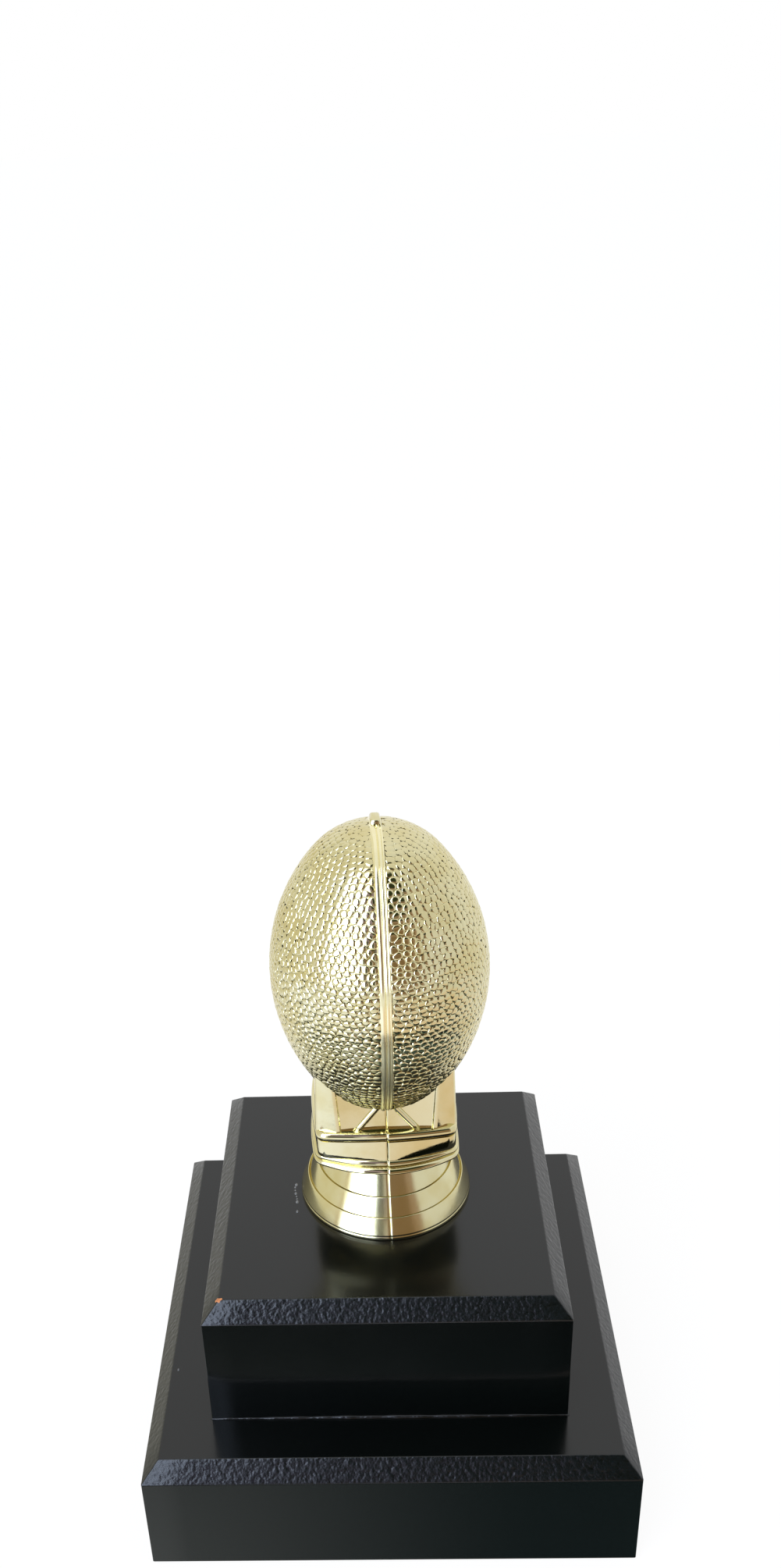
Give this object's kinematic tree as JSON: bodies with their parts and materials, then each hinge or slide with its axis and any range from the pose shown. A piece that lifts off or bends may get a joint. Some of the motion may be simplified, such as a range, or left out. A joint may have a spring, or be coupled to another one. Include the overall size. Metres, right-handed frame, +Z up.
{
  "type": "football trophy",
  "caption": "Gold football figure standing upright on a stepped column and round riser, fixed to a square two-tier black wooden base with chamfered edges.",
  "frame": {"origin": "centre of the square underside of the base, on the surface it rests on", "axes": "+Z up through the base, -Y towards the front of the trophy, +X towards its right as seen from the front"},
  "size_m": [0.1396, 0.1396, 0.2041],
  "materials": {
    "black_wood": "satin black paint",
    "gold_plating": "bright gold metal coating on plastic",
    "zinc_steel": "bright zinc plating",
    "felt": "pressed felt"
  },
  "bodies": {
    "root": {"lower_tier": "black_wood", "upper_tier": "black_wood", "figure_left_half": "gold_plating", "figure_right_half": "gold_plating", "threaded_rod": "zinc_steel", "figure_nut": "zinc_steel", "base_nut": "zinc_steel", "base_washer": "zinc_steel", "felt_sheet": "felt"}
  },
  "joints": []
}
